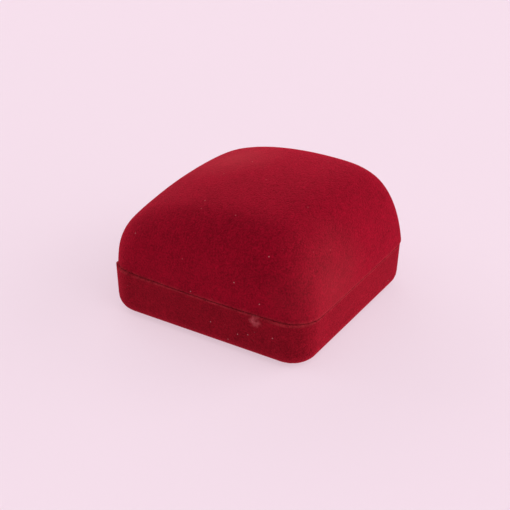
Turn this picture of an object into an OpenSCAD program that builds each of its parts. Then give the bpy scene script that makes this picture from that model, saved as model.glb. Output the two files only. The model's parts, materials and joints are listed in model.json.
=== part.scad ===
// Ring box: a low base and a vaulted lid, both covered in flocked velvet, joined by a spring hinge
// at the back. The base holds two cushion rolls with a slot for the ring between them, and the lid
// is lined with padded satin.
// Origin: centre of the underside. +X runs to the right along the hinge, +Y to the hinge, +Z up.

/* [Outside] */
// Width of either half, along the hinge
box_w = 52; // [50:0.5:56]
// Depth of either half, from front to hinge side
box_d = 54; // [52:0.5:58]
// Radius of the upright corners
corner_r = 7; // [6.5:0.25:8]
// Height of the base's rim
base_h = 11.7; // [11:0.1:13]
// Height of the rounding along the base's bottom edge
base_roll_h = 4; // [3.5:0.25:5]
// How far that rounding draws the bottom edge in
base_roll_w = 3.2; // [2.5:0.1:3.5]
// How much narrower each side is at the rounding than at the rim
base_draft = 0.35; // [0:0.05:0.5]
// How far the lid sits to the right of the base
lid_shift = 0.7; // [0:0.1:1]

/* [Lid vault] */
// Height of the vault above the lid's rim
lid_h = 20.9; // [19:0.1:23]
// Where the top of the vault lies, front to back, from the middle
crest_y = -6.5; // [-7:0.5:0]
// Fullness of the vault's crown in front of its top
front_crown = 3.8; // [3:0.1:5]
// Fullness of the vault's front wall: lower leans back more
front_wall = 1.8; // [1.5:0.1:3]
// Fullness of the vault's crown behind its top
rear_crown = 1.8; // [1.8:0.1:3]
// Fullness of the vault's rear wall
rear_wall = 3.4; // [2.5:0.1:4]
// Roundness of the flat sides' outline, in front and behind
side_outline = 3.1; // [2.2:0.1:3.3]
// Radius of the roll between the vault and its flat sides, at the top
side_roll_r = 9.5; // [7:0.1:10]
// How far the vault drops from its middle to its sides
side_drop = 3.1; // [0:0.1:3.5]
// How far the flat sides swell out in their middle
side_swell = 0.5; // [0:0.1:0.6]

/* [Walls] */
// Thickness of the velvet cover
velvet_t = 0.6; // [0.4:0.1:0.8]
// Thickness of the moulded shells
shell_t = 1.5; // [1.3:0.1:1.6]
// Gap between the lid's rim and the base's rim
rim_gap = 0.2; // [0.1:0.05:0.3]
// Thickness of the felt pad under the base
pad_t = 0.9; // [0.7:0.1:1.2]
// How far that pad stands proud of the velvet
pad_proud = 0.3; // [0.2:0.1:0.4]

/* [Hinge] */
// Distance from the hinge's axis to the back of the box
axis_inset = 1.1; // [1.05:0.05:1.3]
// Width of the whole hinge
hinge_w = 24; // [20:1:28]
// Radius of the hinge pin
pin_r = 0.5; // [0.4:0.05:0.55]
// Outer radius of the knuckles
knuckle_r = 1; // [0.9:0.05:1]
// Thickness of the hinge leaves
leaf_t = 0.4; // [0.3:0.05:0.4]
// Height of each leaf, measured from the axis
leaf_h = 5.6; // [5.2:0.1:5.8]
// How far the lid turns before its rear rim meets the base's
lid_travel = 95; // [80:1:95]

/* [Ring cushion] */
// Height of the rolls' tops above the floor the box stands on
roll_top = 11.2; // [10.4:0.1:11.4]
// Width of the ring slot at the rolls' tops, before their rounding
slot_top_w = 6; // [5:0.5:7]
// Width of the ring slot at its bottom
slot_foot_w = 2.4; // [1.5:0.1:3]
// Thickness of the rolls' velvet wrap
wrap_t = 0.6; // [0.4:0.1:0.8]

/* [Hidden] */
$fn = 48;
eps = 0.01;

velvet_red = [0.55, 0.02, 0.05];
plastic_black = [0.08, 0.07, 0.07];
card_grey = [0.62, 0.6, 0.56];
foam_white = [0.9, 0.89, 0.85];
satin_cream = [0.93, 0.88, 0.8];
steel = [0.76, 0.74, 0.7];

half_w = box_w / 2;
half_d = box_d / 2;
// centre lines of the four upright corners
core_x = half_w - corner_r;
core_y = half_d - corner_r;
inner_off = velvet_t + shell_t;
// middles of the two halves, set so that the whole box is centred on the origin
base_x = -(lid_shift + side_swell) / 2;
lid_x = base_x + lid_shift;
tray_floor_z = pad_proud + velvet_t + 1.4;
tray_fillet_r = 2;

axis_y = half_d - axis_inset;
axis_z = base_h + rim_gap / 2;
lid_rim_z = base_h + rim_gap;
// the rear rims are bevelled a little more than half the travel, so that they never rub
bevel_angle = lid_travel / 2 + 2.5;
bevel_slope = tan(bevel_angle);

// ---------- outlines shared by the two halves ----------

// A plate with rounded corners: half sizes, corner radius, thickness
module rounded_plate(x_half, y_half, r, t) {
    linear_extrude(t) {
        square([2 * (x_half - r), 2 * y_half], center = true);
        square([2 * x_half, 2 * (y_half - r)], center = true);
        for (sx = [-1, 1])
            for (sy = [-1, 1])
                translate([sx * (x_half - r), sy * (y_half - r)]) circle(r);
    }
}

// A section (distance outwards from the corner centre lines, height) carried round the base's plan
module carried_round(section) {
    for (turn = [0, 90, 180, 270])
        rotate(turn)
            translate(turn % 180 == 0 ? [core_x, core_y, 0] : [core_y, core_x, 0])
                rotate_extrude(angle = 90) polygon(section);
    for (side = [0, 180])
        rotate(side) {
            translate([core_x, core_y, 0]) rotate([90, 0, 0])
                linear_extrude(2 * core_y) polygon(section);
            translate([-core_x, core_y, 0]) rotate([90, 0, 90])
                linear_extrude(2 * core_x) polygon(section);
        }
}

function reversed(list) = [for (i = [len(list) - 1:-1:0]) list[i]];

// The base's outside, drawn in by off: up its bottom rounding, then up its side to height top
function base_edge(off, top) = concat(
    [for (a = [90:-15:0])
        [corner_r - base_draft - base_roll_w + (base_roll_w - off) * cos(a),
         base_roll_h - (base_roll_h - pad_proud - off) * sin(a)]],
    [[corner_r - off, top]]);

// The tray's inside: round its floor's edge, then straight up to height top
function tray_inside(top) = concat(
    [for (a = [90:-15:0])
        [corner_r - inner_off - tray_fillet_r * (1 - cos(a)),
         tray_floor_z + tray_fillet_r * (1 - sin(a))]],
    [[corner_r - inner_off, top]]);

// Takes the rear rim away above (side 1) or below (side -1) the hinge's axis, outwards of the axis
module rear_bevel(side) {
    reach = 3;
    edge_z = axis_z + side * rim_gap / 2;
    translate([-half_w - reach, 0, 0])
        rotate([90, 0, 90])
            linear_extrude(box_w + 2 * reach)
                polygon([[axis_y, edge_z],
                         [axis_y + reach, edge_z + side * reach * bevel_slope],
                         [axis_y + reach, edge_z - side],
                         [axis_y, edge_z - side]]);
}

// The window in the rear walls that the knuckles sit in
window_h = 3;
module hinge_window() {
    clear = 0.3;
    translate([-hinge_w / 2 - clear, axis_y - 2, axis_z - window_h / 2])
        cube([hinge_w + 2 * clear, axis_inset + 3, window_h]);
}

// ---------- vault of the lid ----------

// Steps along either half of the vault, round each side roll, and across each flat side
arch_steps = 14;
roll_steps = 6;
flat_steps = 3;
middle_steps = 6;

// A point of the unit arch at t = 0 (crest) to 1 (rim), as [out, up], for its two fullnesses
function arch_point(t, crown, wall) =
    let (share = pow(t, crown) + pow(1 - t, wall))
    [t / pow(share, 1 / crown), (1 - t) / pow(share, 1 / wall)];

// One row of the vault, from the front rim (0) to the rear rim: [y, z, normal's y, normal's z], and
// [y, z] of the point on the flat sides' outline that the side roll starts from
function arch_row(i) =
    let (front = i <= arch_steps,
         t = abs(arch_steps - i) / arch_steps,
         crown = front ? front_crown : rear_crown,
         wall = front ? front_wall : rear_wall,
         way = front ? -1 : 1,
         reach = half_d - way * crest_y,
         p = arch_point(t, crown, wall),
         slope_y = crown * pow(p[0], crown - 1) / reach,
         slope_z = wall * pow(p[1], wall - 1) / lid_h,
         size = norm([slope_y, slope_z]),
         q = arch_point(t, side_outline, side_outline))
    [crest_y + way * reach * p[0], lid_h * p[1], way * slope_y / size, slope_z / size,
     crest_y + way * (reach - corner_r) * q[0], (lid_h - side_roll_r) * q[1]];

arch = [for (i = [0:2 * arch_steps]) arch_row(i)];
rows = len(arch);

// The vault's surface, drawn in by off = [at the walls, at the crown]. Row a is carried from the
// left side to the right: out of the flat side (angle 0), round the roll to the vault (angle 90), and
// across the middle. It sinks towards the sides by side_drop.
function roll_r(a) = corner_r + (side_roll_r - corner_r) * a[1] / lid_h;
function drawn_in(a, off) = off[0] + (off[1] - off[0]) * a[3];
function sunk(x, a, y, z) =
    let (d = side_drop * pow(x / half_w, 2) * a[3])
    [x, y - a[2] * d, z - a[3] * d];
function roll_point(side, angle, a, off) =
    let (in = drawn_in(a, off),
         out = sin(angle),
         x = half_w - off[0] - (roll_r(a) - in) * (1 - cos(angle)))
    sunk(side * x, a, a[4] + (a[0] - a[2] * in - a[4]) * out, a[5] + (a[1] - a[3] * in - a[5]) * out);
function middle_point(share, a, off) =
    let (in = drawn_in(a, off))
    sunk(share * (half_w - off[0] - roll_r(a) + in), a, a[0] - a[2] * in, a[1] - a[3] * in);
function flat_point(side, k, a, off) =
    let (p = roll_point(side, 0, a, off))
    [p[0] + side * side_swell * (1 - k * k), p[1] * k, p[2] * k];

// No point lies under the rim's height z0, which rises behind the hinge's axis with the rear bevel
function above_rim(p, z0) =
    [p[0], p[1], max(p[2], z0 + max(0, p[1] - axis_y) * bevel_slope)];

function vault_columns(off) = concat(
    [for (k = [1:flat_steps - 1]) [for (a = arch) flat_point(-1, k / flat_steps, a, off)]],
    [for (s = [0:roll_steps]) [for (a = arch) roll_point(-1, 90 * s / roll_steps, a, off)]],
    [for (m = [1:middle_steps - 1])
        [for (a = arch) middle_point(2 * m / middle_steps - 1, a, off)]],
    [for (s = [roll_steps:-1:0]) [for (a = arch) roll_point(1, 90 * s / roll_steps, a, off)]],
    [for (k = [flat_steps - 1:-1:1]) [for (a = arch) flat_point(1, k / flat_steps, a, off)]]);
columns = 2 * (flat_steps - 1) + 2 * (roll_steps + 1) + middle_steps - 1;
side_tip = half_w + side_swell;

// All points of one surface: its columns one after the other, then the two middles of the side rims
function vault_points(off, z0) = concat(
    [for (column = vault_columns(off)) for (p = column) above_rim(p, z0)],
    [[-side_tip + off[0], 0, z0], [side_tip - off[0], 0, z0]]);
surface_size = columns * rows + 2;

// Its rim's points, in order round the rim
rim_order = concat([columns * rows],
    [for (c = [0:columns - 1]) c * rows],
    [columns * rows + 1],
    [for (c = [columns - 1:-1:0]) c * rows + rows - 1]);
rim_size = len(rim_order);
function rim_points(off, z) =
    let (all = vault_points(off, z))
    [for (i = rim_order) above_rim([all[i][0], all[i][1], z], z)];

// Triangles of one surface, facing out, with its points starting at number first
function vault_faces(first) = concat(
    [for (c = [0:columns - 2]) for (r = [0:rows - 2])
        let (p = first + c * rows + r) each [[p, p + 1, p + rows], [p + 1, p + rows + 1, p + rows]]],
    [for (r = [0:rows - 2]) [first + columns * rows, first + r + 1, first + r]],
    [for (r = [0:rows - 2])
        let (p = first + (columns - 1) * rows + r) [first + columns * rows + 1, p, p + 1]]);
function turned(faces) = [for (f = faces) [f[0], f[2], f[1]]];

// Triangles between two loops of point numbers of the same length
function strip(a, b) = [for (i = [0:len(a) - 1])
    let (j = (i + 1) % len(a)) each [[a[i], a[j], b[i]], [a[j], b[j], b[i]]]];

// A vaulted wall between two surfaces. ledges are rim lines [off, z] that its edge steps through.
module vault_wall(outer, outer_z, inner, inner_z, ledges = []) {
    points = concat(vault_points(outer, outer_z), vault_points(inner, inner_z),
                    [for (l = ledges) each rim_points([l[0], l[0]], l[1])]);
    loops = concat([rim_order],
        [for (l = [0:1:len(ledges) - 1])
            [for (i = [0:rim_size - 1]) 2 * surface_size + l * rim_size + i]],
        [[for (i = rim_order) surface_size + i]]);
    faces = concat(vault_faces(0), turned(vault_faces(surface_size)),
        [for (l = [0:len(loops) - 2]) each strip(loops[l], loops[l + 1])]);
    translate([lid_x, 0, lid_rim_z]) polyhedron(points, faces, convexity = 6);
}

// ---------- base ----------

hem_t = 0.5;

// Moulded tray, with its rear rim bevelled and a window for the hinge
module base_shell() {
    rim = base_h - hem_t;
    color(plastic_black) difference() {
        translate([base_x, 0, 0]) {
            carried_round(concat([[0, pad_proud + velvet_t]], base_edge(velvet_t, rim),
                reversed(tray_inside(rim)), [[0, tray_floor_z]]));
            translate([-core_x, -core_y, pad_proud + velvet_t])
                cube([2 * core_x, 2 * core_y, tray_floor_z - pad_proud - velvet_t]);
        }
        rear_bevel(-1);
        hinge_window();
        at_rivets(-1) rivet_hole();
    }
}

// Velvet cover, turned in over the tray's rim
module base_velvet() {
    inner_r = corner_r - inner_off;
    color(velvet_red) difference() {
        translate([base_x, 0, 0]) {
            carried_round(concat([[0, pad_proud]], base_edge(0, base_h),
                [[inner_r, base_h], [inner_r, base_h - hem_t]],
                reversed(base_edge(velvet_t, base_h - hem_t)), [[0, pad_proud + velvet_t]]));
            translate([-core_x, -core_y, pad_proud])
                cube([2 * core_x, 2 * core_y, velvet_t]);
        }
        rear_bevel(-1);
        hinge_window();
        pad_recess();
    }
}

// The felt pad lies in a shallow recess in the velvet's underside
pad_x = core_x + corner_r - base_roll_w - base_draft - 0.6;
pad_y = core_y + corner_r - base_roll_w - base_draft - 0.6;
pad_corner_r = 3.4;
module pad_recess() {
    translate([base_x, 0, -eps])
        rounded_plate(pad_x, pad_y, pad_corner_r, pad_t + eps);
}
module bottom_pad() {
    color(plastic_black) translate([base_x, 0, 0])
        rounded_plate(pad_x, pad_y, pad_corner_r, pad_t);
}

// Card band inside the tray, which keeps clear of the hinge leaf at the back
liner_t = 0.6;
liner_clear = 0.05;
liner_x = half_w - inner_off - liner_clear;
liner_front_y = half_d - inner_off - liner_clear;
liner_rear_y = axis_y - 2.3;
liner_mid_y = (liner_rear_y - liner_front_y) / 2;
liner_half_y = (liner_rear_y + liner_front_y) / 2;
liner_corner_r = corner_r - inner_off - liner_clear;
board_t = 0.8;
board_top = tray_floor_z + board_t;
module base_liner() {
    foot = tray_floor_z + tray_fillet_r;
    top = base_h - 0.9;
    color(velvet_red) translate([base_x, liner_mid_y, foot]) difference() {
        rounded_plate(liner_x, liner_half_y, liner_corner_r, top - foot);
        translate([0, 0, -1])
            rounded_plate(liner_x - liner_t, liner_half_y - liner_t,
                          liner_corner_r - liner_t, top);
    }
}

// Stiff card that the rolls are glued to. It lies on the tray's floor, inside its rounding.
module cushion_board() {
    color(card_grey) translate([base_x, liner_mid_y, tray_floor_z])
        rounded_plate(liner_x - tray_fillet_r, liner_half_y - tray_fillet_r, 3, board_t);
}

// A roll's section, drawn in by off: straight against the liner, sloping to the slot, rounded on top
roll_clear = 0.15;
roll_x = liner_x - liner_t - roll_clear;
roll_half_y = liner_half_y - liner_t - roll_clear;
roll_round_r = 2.4;
function roll_section(off) =
    let (outer = roll_half_y - off,
         slope = (slot_top_w - slot_foot_w) / 2 / (roll_top - board_top),
         foot = slot_foot_w / 2 + off,
         r = roll_round_r - off,
         top = roll_top - off,
         slot_x = slot_top_w / 2 + off)
    concat([[foot, board_top], [outer, board_top]],
        [for (a = [0:15:90]) [outer - r + r * cos(a), top - r + r * sin(a)]],
        [for (a = [90:15:165]) [slot_x + r + r * cos(a), top - r + r * sin(a)]]);

module roll_body(side, off) {
    intersection() {
        translate([-roll_x, 0, 0])
            rotate([90, 0, 90])
                linear_extrude(2 * roll_x)
                    polygon([for (p = roll_section(off)) [side * p[0], p[1]]]);
        rounded_plate(roll_x - off, roll_half_y - off, liner_corner_r - liner_t - off, roll_top);
    }
}
// The velvet wraps the foam on all sides but the one glued to the card
module roll_velvet(side) {
    color(velvet_red) translate([base_x, liner_mid_y, 0]) difference() {
        roll_body(side, 0);
        roll_body(side, wrap_t);
    }
}
module roll_foam(side) {
    color(foam_white) translate([base_x, liner_mid_y, 0]) roll_body(side, wrap_t + 0.05);
}
module roll_velvet_front() { roll_velvet(-1); }
module roll_velvet_rear() { roll_velvet(1); }
module roll_foam_front() { roll_foam(-1); }
module roll_foam_rear() { roll_foam(1); }

// ---------- hinge ----------

// the pin turns in the lid's knuckles and is gripped by the base's
turning_clear = 0.04;
gripped_clear = 0.01;
leaf_face = 1.3;
leaf_start = 1.2;
knuckle_gap = 0.15;
cam_r = 1.3;
// ends of the five knuckles, from left to right
knuckle_cuts = [-hinge_w / 2, -hinge_w * 0.3, -hinge_w * 0.125,
                hinge_w * 0.125, hinge_w * 0.3, hinge_w / 2];

// Moves its children, drawn along Z as [y from the axis, height from the axis], onto the hinge
module on_axis(x0) {
    translate([x0, axis_y, axis_z]) rotate([90, 0, 90]) children();
}

// One rolled knuckle, with the strip that joins it to its leaf above (side 1) or below (side -1)
module knuckle(i, r, side, clear) {
    x0 = knuckle_cuts[i] + knuckle_gap / 2;
    w = knuckle_cuts[i + 1] - knuckle_cuts[i] - knuckle_gap;
    on_axis(x0) difference() {
        union() {
            cylinder(h = w, r = r);
            linear_extrude(w)
                polygon([[-leaf_face - leaf_t, side * (leaf_start + 0.4)],
                         [-leaf_face, side * (leaf_start + 0.4)],
                         [-leaf_face, side * leaf_start],
                         [-r * 0.75, side * r * 0.6],
                         [-r * 0.95, 0],
                         [-leaf_face - leaf_t, side * leaf_start * 0.6]]);
        }
        translate([0, 0, -1]) cylinder(h = w + 2, r = pin_r + clear);
    }
}

rivet_x = hinge_w * 0.36;
rivet_z = 4.2;
rivet_r = 0.8;
rivet_clear = 0.02;
rivet_depth = 1.1;
rivet_head_r = 1.4;
rivet_head_t = 0.4;
// Places its children, drawn along Z into the wall from the leaf's inner face, at both rivets
module at_rivets(side) {
    for (x = [-rivet_x, rivet_x])
        translate([x, axis_y - leaf_face - leaf_t, axis_z + side * rivet_z])
            rotate([-90, 0, 0]) children();
}
module rivet_hole() {
    translate([0, 0, -1])
        cylinder(h = 1 + leaf_t + rivet_depth + rivet_clear, r = rivet_r + rivet_clear);
}
module rivet() {
    cylinder(h = leaf_t + rivet_depth, r = rivet_r);
    translate([0, 0, -rivet_head_t]) cylinder(h = rivet_head_t, r1 = rivet_head_r * 0.7, r2 = rivet_head_r);
}

module leaf_plate(side) {
    low = side > 0 ? leaf_start : -leaf_h;
    color(steel) difference() {
        translate([-hinge_w / 2, axis_y - leaf_face - leaf_t, axis_z + low])
            cube([hinge_w, leaf_t, leaf_h - leaf_start]);
        at_rivets(side) rivet_hole();
    }
}

// Base leaf, with the second and fourth knuckles
module hinge_base_leaf() {
    leaf_plate(-1);
    color(steel) for (i = [1, 3]) knuckle(i, knuckle_r, -1, gripped_clear);
}
// Lid leaf, with the outer knuckles and the larger one in the middle, the snap's cam
module hinge_lid_leaf() {
    leaf_plate(1);
    color(steel) for (i = [0, 4]) knuckle(i, knuckle_r, 1, turning_clear);
    color(steel) knuckle(2, cam_r, 1, turning_clear);
}
module hinge_pin() {
    color(steel) on_axis(-hinge_w / 2) cylinder(h = hinge_w, r = pin_r);
}
module base_rivets() {
    color(steel) at_rivets(-1) rivet();
}
module lid_rivets() {
    color(steel) at_rivets(1) rivet();
}

// Spring strip on the base leaf: its foot lies flat on the leaf and its tongue runs past the cam
spring_t = 0.25;
spring_w = 4.4;
function spring_line(foot_y, near, t) =
    [for (p = [[foot_y, -leaf_h], [foot_y, -leaf_h + 2], [foot_y - 0.08, -leaf_h + 2.5],
               [foot_y - 0.08, -leaf_start - 0.2], [-near, -0.4], [-near - 0.1, 0.4]])
        [p[0] - t, p[1]]];
module snap_spring() {
    cam_clear = 0.12;
    near = cam_r + cam_clear;
    foot_y = -leaf_face - leaf_t;
    color(steel) on_axis(-spring_w / 2) linear_extrude(spring_w)
        polygon(concat(spring_line(foot_y, near, 0), reversed(spring_line(foot_y, near, spring_t))));
}

// ---------- lid ----------

// Moulded dome, with a window for the hinge and holes for its rivets
module lid_shell() {
    color(plastic_black) difference() {
        vault_wall([velvet_t, velvet_t], hem_t, [inner_off, inner_off], hem_t,
                   [[axis_inset, hem_t]]);
        hinge_window();
        at_rivets(1) rivet_hole();
    }
}

// Velvet cover, turned in over the dome's rim
module lid_velvet() {
    color(velvet_red) difference() {
        vault_wall([0, 0], 0, [velvet_t, velvet_t], hem_t,
                   [[axis_inset, 0], [inner_off, 0], [inner_off, hem_t], [axis_inset, hem_t]]);
        hinge_window();
    }
}

// Thin former, wadding and satin, one inside the other. At the walls they clear the hinge leaf.
lining_edge_z = 0.5;
liner_wall = inner_off + 1.25;
liner_crown = inner_off + 0.1;
former_t = 0.4;
wadding_wall_t = 0.5;
wadding_crown_t = 0.9;
satin_t = 0.35;
layer_gap = 0.08;
wadding_wall = liner_wall + former_t + layer_gap;
wadding_crown = liner_crown + former_t + layer_gap;
satin_wall = wadding_wall + wadding_wall_t + layer_gap;
satin_crown = wadding_crown + wadding_crown_t + layer_gap;
module lid_liner() {
    color(card_grey)
        vault_wall([liner_wall, liner_crown], lining_edge_z,
                   [liner_wall + former_t, liner_crown + former_t], lining_edge_z);
}
module lid_foam() {
    color(foam_white)
        vault_wall([wadding_wall, wadding_crown], lining_edge_z + 1,
                   [wadding_wall + wadding_wall_t, wadding_crown + wadding_crown_t],
                   lining_edge_z + 1);
}
module lid_satin() {
    color(satin_cream)
        vault_wall([satin_wall, satin_crown], lining_edge_z,
                   [satin_wall + satin_t, satin_crown + satin_t], lining_edge_z);
}

base_shell();
base_velvet();
bottom_pad();
base_liner();
cushion_board();
roll_foam_front();
roll_foam_rear();
roll_velvet_front();
roll_velvet_rear();
hinge_base_leaf();
hinge_pin();
base_rivets();
snap_spring();
lid_shell();
lid_velvet();
lid_liner();
lid_foam();
lid_satin();
hinge_lid_leaf();
lid_rivets();
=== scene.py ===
import json
import math

import bpy
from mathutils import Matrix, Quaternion, Vector

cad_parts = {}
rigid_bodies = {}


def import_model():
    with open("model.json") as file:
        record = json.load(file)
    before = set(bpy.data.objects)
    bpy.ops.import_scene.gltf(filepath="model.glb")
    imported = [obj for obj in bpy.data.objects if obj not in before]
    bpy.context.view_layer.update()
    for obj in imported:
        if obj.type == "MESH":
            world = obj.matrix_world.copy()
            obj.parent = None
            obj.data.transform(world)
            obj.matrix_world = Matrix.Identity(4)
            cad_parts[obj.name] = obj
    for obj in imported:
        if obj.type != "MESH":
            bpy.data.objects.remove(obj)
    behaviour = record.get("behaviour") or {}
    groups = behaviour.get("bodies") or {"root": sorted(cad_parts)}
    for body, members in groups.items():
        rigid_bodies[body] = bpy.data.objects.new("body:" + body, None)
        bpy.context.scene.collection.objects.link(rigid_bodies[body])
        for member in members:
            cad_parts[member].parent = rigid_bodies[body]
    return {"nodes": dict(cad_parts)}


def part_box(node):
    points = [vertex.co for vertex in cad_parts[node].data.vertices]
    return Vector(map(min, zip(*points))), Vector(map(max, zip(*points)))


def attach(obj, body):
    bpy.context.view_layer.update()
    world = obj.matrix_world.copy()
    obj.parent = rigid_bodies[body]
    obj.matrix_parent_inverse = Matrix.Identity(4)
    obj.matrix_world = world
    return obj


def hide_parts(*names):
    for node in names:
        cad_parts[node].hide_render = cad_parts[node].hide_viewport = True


bpy.ops.object.select_all(action="SELECT")
bpy.ops.object.delete()

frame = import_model()
bpy.context.view_layer.update()
nodes = frame["nodes"]

MM = 0.001
seam_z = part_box("base_velvet")[1].z


# ---------------------------------------------------------------- camera and lights

shell_low, shell_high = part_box("base_shell")
look_height = 15 * MM
stage_middle = Vector(((shell_low.x + shell_high.x) / 2, 0, look_height))


def outward(turn, rise):
    """The way out from the middle of the stage, turned from -Y towards +X and raised, in radians."""
    return Vector((math.sin(turn) * math.cos(rise), -math.cos(turn) * math.cos(rise), math.sin(rise)))


def set_camera():
    turn = math.radians(-59.22)
    rise = math.radians(29.19)
    tilt = math.radians(0.78)
    reach = 0.3485
    bpy.ops.object.camera_add()
    camera = bpy.context.object
    camera.name = "camera"
    away = outward(turn, rise)
    camera.location = stage_middle + away * reach
    level_view = away.to_track_quat("Z", "Y")
    camera.rotation_euler = (level_view @ Quaternion((0, 0, 1), tilt)).to_euler()
    camera.data.lens = 103.3
    camera.data.sensor_width = 36
    camera.data.shift_x = -0.0108
    camera.data.shift_y = -0.0318
    camera.data.clip_start = 0.01
    camera.data.clip_end = 20
    bpy.context.scene.camera = camera


def soft_light(name, turn, rise, power):
    """A square soft box that looks at the middle of the stage from a turn and a rise in degrees."""
    reach = 1.2
    width = 0.9
    toward = outward(math.radians(turn), math.radians(rise))
    bpy.ops.object.light_add(type="AREA")
    light = bpy.context.object
    light.name = name
    light.data.shape = "SQUARE"
    light.data.size = width
    light.data.energy = power
    light.location = stage_middle + toward * reach
    light.rotation_euler = toward.to_track_quat("Z", "Y").to_euler()


def set_room_light(strength):
    """A faint even white light from all sides, and colours shown as they are."""
    world = bpy.data.worlds.new("studio")
    bpy.context.scene.world = world
    world.use_nodes = True
    world.node_tree.nodes["Background"].inputs["Color"].default_value = (1, 1, 1, 1)
    world.node_tree.nodes["Background"].inputs["Strength"].default_value = strength
    bpy.context.scene.view_settings.view_transform = "Standard"
    bpy.context.scene.view_settings.look = "None"


set_camera()
soft_light("top_soft_box", 0, 88, 1.9)
soft_light("front_high_soft_box", 0, 50, 1.9)
soft_light("front_low_soft_box", 0, 20, 3.9)
soft_light("right_front_soft_box", 45, 22, 5.9)
soft_light("left_front_soft_box", -45, 50, 2.8)
soft_light("left_back_soft_box", -135, 50, 2.0)
soft_light("back_soft_box", 180, 20, 4.2)
soft_light("right_back_soft_box", 135, 20, 4.4)
set_room_light(0.03)


# ---------------------------------------------------------------- what finishes are made of

def new_finish(name):
    """A new material, its node tree and its shader."""
    finish = bpy.data.materials.new(name)
    finish.use_nodes = True
    tree = finish.node_tree
    return finish, tree, tree.nodes["Principled BSDF"]


def add_node(tree, kind, **settings):
    """Adds a node and sets its inputs, or its options where no input has that name."""
    node = tree.nodes.new(kind)
    for key, value in settings.items():
        if key in node.inputs:
            node.inputs[key].default_value = value
        else:
            setattr(node, key, value)
    return node


def object_place(tree):
    return add_node(tree, "ShaderNodeTexCoord").outputs["Object"]


def grain(tree, place, size, detail=3.0, roughness=0.5, stretch=None):
    """Noise whose patches are about `size` metres across, or longer where `stretch` is under 1."""
    if stretch:
        mapping = add_node(tree, "ShaderNodeMapping")
        mapping.inputs["Scale"].default_value = stretch
        tree.links.new(place, mapping.inputs["Vector"])
        place = mapping.outputs["Vector"]
    noise = add_node(tree, "ShaderNodeTexNoise", Scale=1 / size, Detail=detail, Roughness=roughness)
    tree.links.new(place, noise.inputs["Vector"])
    return noise.outputs["Fac"]


def cells(tree, place, size):
    """Rounded cells about `size` metres across."""
    node = add_node(tree, "ShaderNodeTexVoronoi", Scale=1 / size)
    tree.links.new(place, node.inputs["Vector"])
    return node


def spread(tree, value, low, high):
    """Stretches a value so that low becomes 0 and high becomes 1, and holds it between them."""
    node = add_node(tree, "ShaderNodeMapRange")
    node.inputs["From Min"].default_value = low
    node.inputs["From Max"].default_value = high
    tree.links.new(value, node.inputs["Value"])
    return node.outputs["Result"]


def sum_of(tree, a, b, share=1.0):
    """a + share * b."""
    node = add_node(tree, "ShaderNodeMath", operation="MULTIPLY_ADD")
    tree.links.new(b, node.inputs[0])
    node.inputs[1].default_value = share
    tree.links.new(a, node.inputs[2])
    return node.outputs[0]


def times(tree, a, b):
    """a * b, where b is a socket or a number."""
    node = add_node(tree, "ShaderNodeMath", operation="MULTIPLY")
    tree.links.new(a, node.inputs[0])
    if hasattr(b, "is_output"):
        tree.links.new(b, node.inputs[1])
    else:
        node.inputs[1].default_value = b
    return node.outputs[0]


def blended(tree, factor, first, second):
    """A colour that goes from first to second as the factor goes from 0 to 1."""
    mix = add_node(tree, "ShaderNodeMix", data_type="RGBA")
    tree.links.new(factor, mix.inputs["Factor"])
    sockets = [s for s in mix.inputs if s.type == "RGBA"]
    for socket, colour in zip(sockets, (first, second)):
        if hasattr(colour, "is_output"):
            tree.links.new(colour, socket)
        else:
            socket.default_value = (*colour, 1)
    return next(s for s in mix.outputs if s.type == "RGBA")


def roughen(tree, surface, height, depth, strength):
    """Shades the surface as if it rose and fell by up to `depth` metres."""
    bump = add_node(tree, "ShaderNodeBump")
    bump.inputs["Strength"].default_value = strength
    bump.inputs["Distance"].default_value = depth
    tree.links.new(height, bump.inputs["Height"])
    tree.links.new(bump.outputs["Normal"], surface.inputs["Normal"])


def near_point(tree, place, point, reach, ragged):
    """1 at a point, falling to 0 at about `reach` metres from it, with a ragged edge."""
    distance = add_node(tree, "ShaderNodeVectorMath", operation="DISTANCE")
    tree.links.new(place, distance.inputs[0])
    distance.inputs[1].default_value = point
    edge_noise = grain(tree, place, reach * 0.4, detail=3)
    away_from = sum_of(tree, distance.outputs["Value"], edge_noise, ragged * reach)
    return spread(tree, away_from, reach * (1 + ragged * 0.5), reach * ragged * 0.5)


def near_height(tree, place, height, reach):
    """1 at a height, falling to 0 at `reach` metres from it, upwards or, if negative, downwards."""
    parts = add_node(tree, "ShaderNodeSeparateXYZ")
    tree.links.new(place, parts.inputs[0])
    return spread(tree, parts.outputs["Z"], height + reach, height)


# ---------------------------------------------------------------- velvet

def flock_tone(tree, brushed, tufts, pile):
    """0 to 1, mostly from the pile's own grain."""
    brushed_share, tuft_share, pile_share = 0.5, 0.7, 2.2
    total = brushed_share + tuft_share + pile_share
    tone = sum_of(tree, times(tree, brushed, brushed_share), tufts, tuft_share)
    return times(tree, sum_of(tree, tone, pile, pile_share), 1 / total)


def lint_specks(tree, place):
    """1 on small specks, one in about a fifth of the cells, and 0 elsewhere."""
    lint_cells = cells(tree, place, 2.6 * MM)
    speck = spread(tree, lint_cells.outputs["Distance"], 0.085, 0.03)
    chosen = add_node(tree, "ShaderNodeSeparateColor")
    tree.links.new(lint_cells.outputs["Color"], chosen.inputs["Color"])
    return times(tree, speck, spread(tree, chosen.outputs["Red"], 0.80, 0.84))


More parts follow.
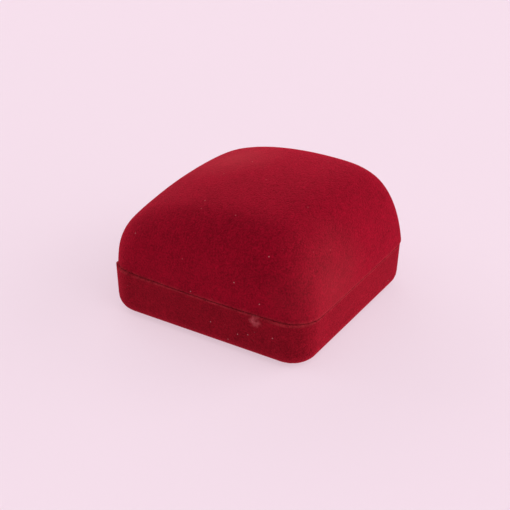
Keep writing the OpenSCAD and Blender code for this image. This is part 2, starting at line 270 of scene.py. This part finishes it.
def velvet(name, deep, lit, lip=None, highlight_patches_at=(), rubbed_at=()):
    """Flock: a short dense pile with a soft bright edge, fine grain and a little lint.

    lip is (height, reach) of a rim band lightened with a painted highlight. The two lists hold
    (point, reach, share): the first of painted highlight patches, rubbed_at of places where the pile has
    worn thin.
    """
    # The first colour is the painted highlight of the rim band, the second that of the painted highlight
    # patches; the rubbed and lint colours are the flock's own.
    lip_highlight_colour = (0.55, 0.07, 0.08)
    patch_highlight_colour = (0.55, 0.10, 0.10)
    rubbed_colour = (0.62, 0.15, 0.17)
    lint_colour = (0.75, 0.40, 0.40)
    finish, tree, surface = new_finish(name)
    place = object_place(tree)
    brushed = spread(tree, grain(tree, place, 8 * MM, detail=2), 0.35, 0.65)
    tufts = spread(tree, grain(tree, place, 1.5 * MM, detail=3), 0.3, 0.7)
    pile = spread(tree, grain(tree, place, 0.42 * MM, detail=2, roughness=0.7), 0.33, 0.67)
    colour = blended(tree, flock_tone(tree, brushed, tufts, pile), deep, lit)
    if lip:
        # Painted highlight along the rim band, broken up by the pile's grain.
        lip_highlight = times(tree, near_height(tree, place, *lip), sum_of(tree, tufts, pile, 0.6))
        colour = blended(tree, times(tree, lip_highlight, 0.22), colour, lip_highlight_colour)
    # Soft patches of painted highlight with ragged edges.
    for point, reach, share in highlight_patches_at:
        patch_highlight = times(tree, near_point(tree, place, point, reach, ragged=0.5), share)
        colour = blended(tree, patch_highlight, colour, patch_highlight_colour)
    for point, reach, share in rubbed_at:
        bare = times(tree, near_point(tree, place, point, reach, ragged=0.8), share)
        colour = blended(tree, times(tree, bare, tufts), colour, rubbed_colour)
    colour = blended(tree, times(tree, lint_specks(tree, place), 0.4), colour, lint_colour)
    tree.links.new(colour, surface.inputs["Base Color"])
    surface.inputs["Roughness"].default_value = 0.95
    surface.inputs["Specular IOR Level"].default_value = 0.03
    surface.inputs["Sheen Weight"].default_value = 0.85
    surface.inputs["Sheen Roughness"].default_value = 0.5
    surface.inputs["Sheen Tint"].default_value = (0.70, 0.020, 0.052, 1)
    roughen(tree, surface, sum_of(tree, pile, tufts, 0.6), 0.12 * MM, 0.7)
    return finish


def cover_velvets():
    """The lid's and the base's flock, with a painted highlight along the seam, painted highlights on the
    lid and a rubbed place on the base.
    """
    lid_low, lid_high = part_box("lid_velvet")
    # Painted highlights on the lid's back shoulder and near its front corner, where light falls.
    back_shoulder_highlight = ((lid_high.x * 0.30, lid_high.y * 0.46, lid_high.z * 0.915), 14 * MM, 0.20)
    front_corner_highlight = ((lid_low.x * 0.5, lid_low.y, seam_z + 5.2 * MM), 17 * MM, 0.10)
    rubbed_edge = ((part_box("base_velvet")[0].x, lid_low.y * 0.53, seam_z - 1.2 * MM), 1.8 * MM, 0.75)
    # Both flocks get a painted highlight along the seam.
    lid_flock = velvet("lid_flock", (0.11, 0.0012, 0.0060), (0.32, 0.003, 0.018),
                       lip=(seam_z, 0.9 * MM), highlight_patches_at=(back_shoulder_highlight, front_corner_highlight))
    base_flock = velvet("base_flock", (0.09, 0.0018, 0.0050), (0.26, 0.005, 0.015),
                        lip=(seam_z, -0.5 * MM), rubbed_at=(rubbed_edge,))
    return lid_flock, base_flock


# ---------------------------------------------------------------- other finishes

def satin(name, deep, lit):
    """Satin: long floats of fine thread one way, with a soft broad shine."""
    finish, tree, surface = new_finish(name)
    place = object_place(tree)
    thread = grain(tree, place, 0.10 * MM, detail=1, stretch=(1, 0.15, 0.15))
    slub = grain(tree, place, 2.5 * MM, detail=2, stretch=(1, 0.5, 0.5))
    crease = grain(tree, place, 3.5 * MM, detail=3)
    tree.links.new(blended(tree, slub, deep, lit), surface.inputs["Base Color"])
    surface.inputs["Roughness"].default_value = 0.42
    surface.inputs["Specular IOR Level"].default_value = 0.45
    surface.inputs["Sheen Weight"].default_value = 0.35
    surface.inputs["Sheen Roughness"].default_value = 0.4
    roughen(tree, surface, sum_of(tree, times(tree, crease, 6.0), thread, 0.4), 0.10 * MM, 0.5)
    return finish


def felt(name, deep, lit):
    """Felt: short tangled fibres with no shine."""
    finish, tree, surface = new_finish(name)
    place = object_place(tree)
    fibres = grain(tree, place, 0.35 * MM, detail=6, roughness=0.8)
    tree.links.new(blended(tree, spread(tree, fibres, 0.3, 0.7), deep, lit), surface.inputs["Base Color"])
    surface.inputs["Roughness"].default_value = 1.0
    surface.inputs["Specular IOR Level"].default_value = 0.1
    surface.inputs["Sheen Weight"].default_value = 0.5
    roughen(tree, surface, fibres, 0.15 * MM, 0.9)
    return finish


def open_foam(name, deep, lit):
    """Foam: small open cells, with painted shade in their middles."""
    finish, tree, surface = new_finish(name)
    foam_cells = cells(tree, object_place(tree), 0.55 * MM)
    # Painted shade in the cell pits; the same value also drives the bump.
    depth = spread(tree, foam_cells.outputs["Distance"], 0.05, 0.55)
    tree.links.new(blended(tree, depth, deep, lit), surface.inputs["Base Color"])
    surface.inputs["Roughness"].default_value = 0.95
    surface.inputs["Specular IOR Level"].default_value = 0.2
    roughen(tree, surface, depth, 0.2 * MM, 0.8)
    return finish


def card(name, deep, lit):
    """Card: pressed pulp with a few dark flecks."""
    finish, tree, surface = new_finish(name)
    place = object_place(tree)
    pulp = grain(tree, place, 0.5 * MM, detail=5, roughness=0.75)
    flecks = spread(tree, grain(tree, place, 0.25 * MM, detail=1), 0.64, 0.7)
    colour = blended(tree, pulp, deep, lit)
    colour = blended(tree, times(tree, flecks, 0.35), colour, (0.1, 0.08, 0.06))
    tree.links.new(colour, surface.inputs["Base Color"])
    surface.inputs["Roughness"].default_value = 0.85
    surface.inputs["Specular IOR Level"].default_value = 0.25
    roughen(tree, surface, pulp, 0.03 * MM, 0.5)
    return finish


def moulded_plastic(name, deep, lit):
    """Moulded plastic: faint flow marks and a fine stipple."""
    finish, tree, surface = new_finish(name)
    place = object_place(tree)
    flow = grain(tree, place, 6 * MM, detail=2)
    stipple = grain(tree, place, 0.15 * MM, detail=2)
    tree.links.new(blended(tree, flow, deep, lit), surface.inputs["Base Color"])
    tree.links.new(spread(tree, flow, 0.9, -0.9), surface.inputs["Roughness"])
    surface.inputs["Specular IOR Level"].default_value = 0.4
    roughen(tree, surface, stipple, 0.02 * MM, 0.4)
    return finish


def pressed_steel(name, deep, lit, stretch):
    """Thin pressed steel: brushing drawn out along one way, and patches of tarnish."""
    finish, tree, surface = new_finish(name)
    place = object_place(tree)
    brushing = grain(tree, place, 0.1 * MM, detail=2, stretch=stretch)
    tarnish = spread(tree, grain(tree, place, 2.5 * MM, detail=4), 0.35, 0.75)
    tree.links.new(blended(tree, tarnish, lit, deep), surface.inputs["Base Color"])
    surface.inputs["Metallic"].default_value = 1.0
    dullness = sum_of(tree, tarnish, brushing, 0.6)
    tree.links.new(spread(tree, dullness, -1.1, 3.2), surface.inputs["Roughness"])
    roughen(tree, surface, brushing, 0.01 * MM, 0.5)
    return finish


lid_flock, base_flock = cover_velvets()
lining_velvet = velvet("lining_velvet", (0.08, 0.0008, 0.004), (0.24, 0.002, 0.012))
ivory_satin = satin("ivory_satin", (0.72, 0.65, 0.54), (0.86, 0.80, 0.70))
foot_felt = felt("foot_felt", (0.02, 0.003, 0.005), (0.07, 0.01, 0.015))
white_foam = open_foam("white_foam", (0.45, 0.42, 0.34), (0.82, 0.8, 0.72))
grey_card = card("grey_card", (0.27, 0.24, 0.2), (0.42, 0.39, 0.34))
dark_plastic = moulded_plastic("dark_plastic", (0.03, 0.006, 0.008), (0.055, 0.012, 0.014))
hinge_plate = pressed_steel("hinge_plate", (0.36, 0.27, 0.15), (0.74, 0.62, 0.4), (0.05, 1, 1))
spring_strip = pressed_steel("spring_strip", (0.33, 0.33, 0.34), (0.6, 0.6, 0.62), (1, 1, 0.05))


# ---------------------------------------------------------------- making pieces

def pick_only(piece):
    bpy.ops.object.select_all(action="DESELECT")
    piece.select_set(True)
    bpy.context.view_layer.objects.active = piece


def finish_with(piece, material):
    piece.data.materials.clear()
    piece.data.materials.append(material)


def copy_of(node, name):
    """A piece that starts from a CAD node's own shape, with its loose triangles merged."""
    piece = bpy.data.objects.new(name, nodes[node].data.copy())
    bpy.context.collection.objects.link(piece)
    pick_only(piece)
    bpy.ops.object.mode_set(mode="EDIT")
    bpy.ops.mesh.select_all(action="SELECT")
    bpy.ops.mesh.remove_doubles(threshold=1e-6)
    bpy.ops.mesh.tris_convert_to_quads(face_threshold=math.radians(40), shape_threshold=math.radians(60))
    bpy.ops.object.mode_set(mode="OBJECT")
    return piece


def apply_modifier(piece, kind, **settings):
    pick_only(piece)
    modifier = piece.modifiers.new(kind.lower(), kind)
    for key, value in settings.items():
        setattr(modifier, key, value)
    bpy.ops.object.modifier_apply(modifier=modifier.name)


def subdivide(piece, levels):
    apply_modifier(piece, "SUBSURF", levels=levels, render_levels=levels)


def pick_sharp_edges(piece, over_degrees):
    """Goes into edit mode with a piece's sharp edges selected."""
    pick_only(piece)
    bpy.ops.object.mode_set(mode="EDIT")
    bpy.ops.mesh.select_mode(type="EDGE")
    bpy.ops.mesh.select_all(action="DESELECT")
    bpy.ops.mesh.edges_select_sharp(sharpness=math.radians(over_degrees))


def pick_faces(piece, wanted):
    """Goes into edit mode with the faces selected that wanted(middle, normal) names."""
    pick_only(piece)
    bpy.ops.object.mode_set(mode="EDIT")
    bpy.ops.mesh.select_mode(type="FACE")
    bpy.ops.mesh.select_all(action="DESELECT")
    bpy.ops.object.mode_set(mode="OBJECT")
    for face in piece.data.polygons:
        face.select = wanted(face.center, face.normal)
    bpy.ops.object.mode_set(mode="EDIT")


def round_sharp_edges(piece, over_degrees, radius, segments=2):
    pick_sharp_edges(piece, over_degrees)
    bpy.ops.mesh.bevel(offset=radius, segments=segments, affect="EDGES", clamp_overlap=True)
    bpy.ops.object.mode_set(mode="OBJECT")


def smooth_curves(piece, over_degrees, levels):
    """Subdivides a piece so that its curves are smooth, and keeps its sharp edges in place."""
    pick_sharp_edges(piece, over_degrees)
    bpy.ops.transform.edge_crease(value=1.0)
    bpy.ops.object.mode_set(mode="OBJECT")
    subdivide(piece, levels)


def smooth_shade(piece, degrees):
    """Shades a piece smooth up to an angle, and keeps its flat faces looking flat."""
    pick_only(piece)
    bpy.ops.object.shade_smooth_by_angle(angle=math.radians(degrees))
    apply_modifier(piece, "WEIGHTED_NORMAL", keep_sharp=True)


def put_on(piece, body, node, material):
    """Gives a piece its finish, and puts it on a body in a CAD node's stead."""
    finish_with(piece, material)
    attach(piece, body)
    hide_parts(node)


# ---------------------------------------------------------------- velvet covers

turned_edge = 0.16 * MM


def make_lid_cover():
    cover = copy_of("lid_velvet", "lid_cover")
    smooth_curves(cover, 38, 1)
    round_sharp_edges(cover, 38, turned_edge, segments=3)
    smooth_shade(cover, 45)
    put_on(cover, "lid", "lid_velvet", lid_flock)


def make_base_cover():
    cover = copy_of("base_velvet", "base_cover")
    round_sharp_edges(cover, 50, turned_edge, segments=3)
    smooth_shade(cover, 45)
    put_on(cover, "base", "base_velvet", base_flock)


make_lid_cover()
make_base_cover()


# ---------------------------------------------------------------- soft pieces inside

def middle_and_half(low, high):
    return (low + high) / 2, (high - low) / 2


def soft_roll(node, name):
    """Velvet pulled over foam: the CAD roll, rounded, crowned in its middle, with ridges at its ends."""
    crown = 0.35 * MM
    ridge = 0.07 * MM
    end_share = 0.3
    roll = copy_of(node, name)
    low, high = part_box(node)
    middle, half = middle_and_half(low, high)
    apply_modifier(roll, "REMESH", mode="VOXEL", voxel_size=0.5 * MM)
    apply_modifier(roll, "SMOOTH", factor=0.5, iterations=14)
    for vertex in roll.data.vertices:
        along = (vertex.co.x - middle.x) / half.x
        across = (vertex.co.y - middle.y) / half.y
        up = (vertex.co.z - low.z) / (high.z - low.z)
        vertex.co.z += crown * up * (1 - along ** 2) * (1 - across ** 2)
        gather = math.sin(vertex.co.y / MM * 2.1 + 1.3) + math.sin(vertex.co.y / MM * 3.7)
        near_end = max(0.0, abs(along) - (1 - end_share)) / end_share
        vertex.co.z += ridge * gather * near_end * up
    subdivide(roll, 1)
    smooth_shade(roll, 80)
    put_on(roll, "base", node, lining_velvet)


def filling(node, name, body):
    """Foam or wadding behind a cover, with its cut edges softened."""
    block = copy_of(node, name)
    round_sharp_edges(block, 40, 0.25 * MM)
    smooth_shade(block, 60)
    put_on(block, body, node, white_foam)


def add_hem(lining, low, middle):
    """Draws the lining's rim down a little, then out as far as the former's side."""
    drop = 0.25 * MM
    reach = low.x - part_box("lid_liner")[0].x

    def is_rim(place, normal):
        return normal.z < -0.9 and place.z < low.z + 0.1 * MM

    def is_hem_side(place, normal):
        faces_out = normal.x * (place.x - middle.x) + normal.y * (place.y - middle.y) > 0
        return faces_out and abs(normal.z) < 0.3 and place.z < low.z - 0.05 * MM

    pick_faces(lining, is_rim)
    bpy.ops.mesh.extrude_region_move(TRANSFORM_OT_translate={"value": (0, 0, -drop)})
    bpy.ops.object.mode_set(mode="OBJECT")
    pick_faces(lining, is_hem_side)
    bpy.ops.mesh.extrude_region_shrink_fatten(TRANSFORM_OT_shrink_fatten={"value": reach})
    bpy.ops.object.mode_set(mode="OBJECT")


def puff_and_fold(lining, low, high, middle, half):
    """Swells the lining inwards, most at the lid's crown, and gathers it in folds towards its rim."""
    puff = 0.6 * MM
    fold = 0.45 * MM
    hem_top = 0.06
    folds_start = 0.1
    folds_end = 0.6
    for vertex in lining.data.vertices:
        across = (vertex.co.x - middle.x) / half.x
        along = (vertex.co.y - middle.y) / half.y
        up = (vertex.co.z - low.z) / (high.z - low.z)
        if up < hem_top:
            continue
        swell = max(0.0, 1 - across ** 4) * max(0.0, 1 - along ** 4)
        round_lid = math.atan2(along, across)
        gathers = math.sin(round_lid * 26) + 0.6 * math.sin(round_lid * 17 + 1.0)
        near_rim = max(0.0, 1 - up / folds_end) * min(1.0, (up - hem_top) / folds_start)
        inward = Vector((-across, -along, -0.6 * up)).normalized()
        vertex.co += inward * (puff * swell * up + fold * gathers * near_rim)


def make_satin_lining():
    lining = copy_of("lid_satin", "satin_lining")
    low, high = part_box("lid_satin")
    middle, half = middle_and_half(low, high)
    add_hem(lining, low, middle)
    subdivide(lining, 2)
    puff_and_fold(lining, low, high, middle, half)
    smooth_shade(lining, 80)
    put_on(lining, "lid", "lid_satin", ivory_satin)


soft_roll("roll_velvet_front", "ring_roll_front")
soft_roll("roll_velvet_rear", "ring_roll_rear")
filling("roll_foam_front", "roll_filling_front", "base")
filling("roll_foam_rear", "roll_filling_rear", "base")
filling("lid_foam", "lid_wadding", "lid")
make_satin_lining()


# ---------------------------------------------------------------- flat pieces of the base

def flat_piece(node, name, edge_radius, material):
    """A flat or banded piece of the base, with its cut edges softened."""
    piece = copy_of(node, name)
    round_sharp_edges(piece, 60, edge_radius)
    smooth_shade(piece, 50)
    put_on(piece, "base", node, material)


flat_piece("base_liner", "lining_band", 0.2 * MM, lining_velvet)
flat_piece("cushion_board", "slot_board", 0.15 * MM, lining_velvet)
flat_piece("bottom_pad", "foot_pad", 0.15 * MM, foot_felt)


# ---------------------------------------------------------------- finishes on the other CAD parts

for node in ("base_shell", "lid_shell"):
    finish_with(nodes[node], dark_plastic)
finish_with(nodes["lid_liner"], grey_card)
for node in ("hinge_base_leaf", "hinge_lid_leaf", "hinge_pin", "base_rivets", "lid_rivets"):
    finish_with(nodes[node], hinge_plate)
finish_with(nodes["snap_spring"], spring_strip)


# ---------------------------------------------------------------- floor and backdrop

def floor_paint():
    """A pale pink paint that gives off a little light, so that it stays even all over."""
    paint, _, surface = new_finish("floor_paint")
    surface.inputs["Base Color"].default_value = (0.35, 0.283, 0.32, 1)
    surface.inputs["Emission Color"].default_value = (0.92, 0.745, 0.84, 1)
    surface.inputs["Emission Strength"].default_value = 0.64
    surface.inputs["Roughness"].default_value = 0.9
    surface.inputs["Specular IOR Level"].default_value = 0.1
    return paint


def make_stage():
    """A floor with a round backdrop that stands well outside the lights."""
    paint = floor_paint()
    bpy.ops.mesh.primitive_plane_add(size=6, location=(0, 0, 0))
    floor = bpy.context.object
    floor.name = "floor"
    finish_with(floor, paint)
    bpy.ops.mesh.primitive_cylinder_add(vertices=96, radius=2.9, depth=2.4, end_fill_type="NOTHING",
                                        location=(0, 0, 0))
    backdrop = bpy.context.object
    backdrop.name = "backdrop"
    finish_with(backdrop, paint)


make_stage()

bpy.context.view_layer.update()
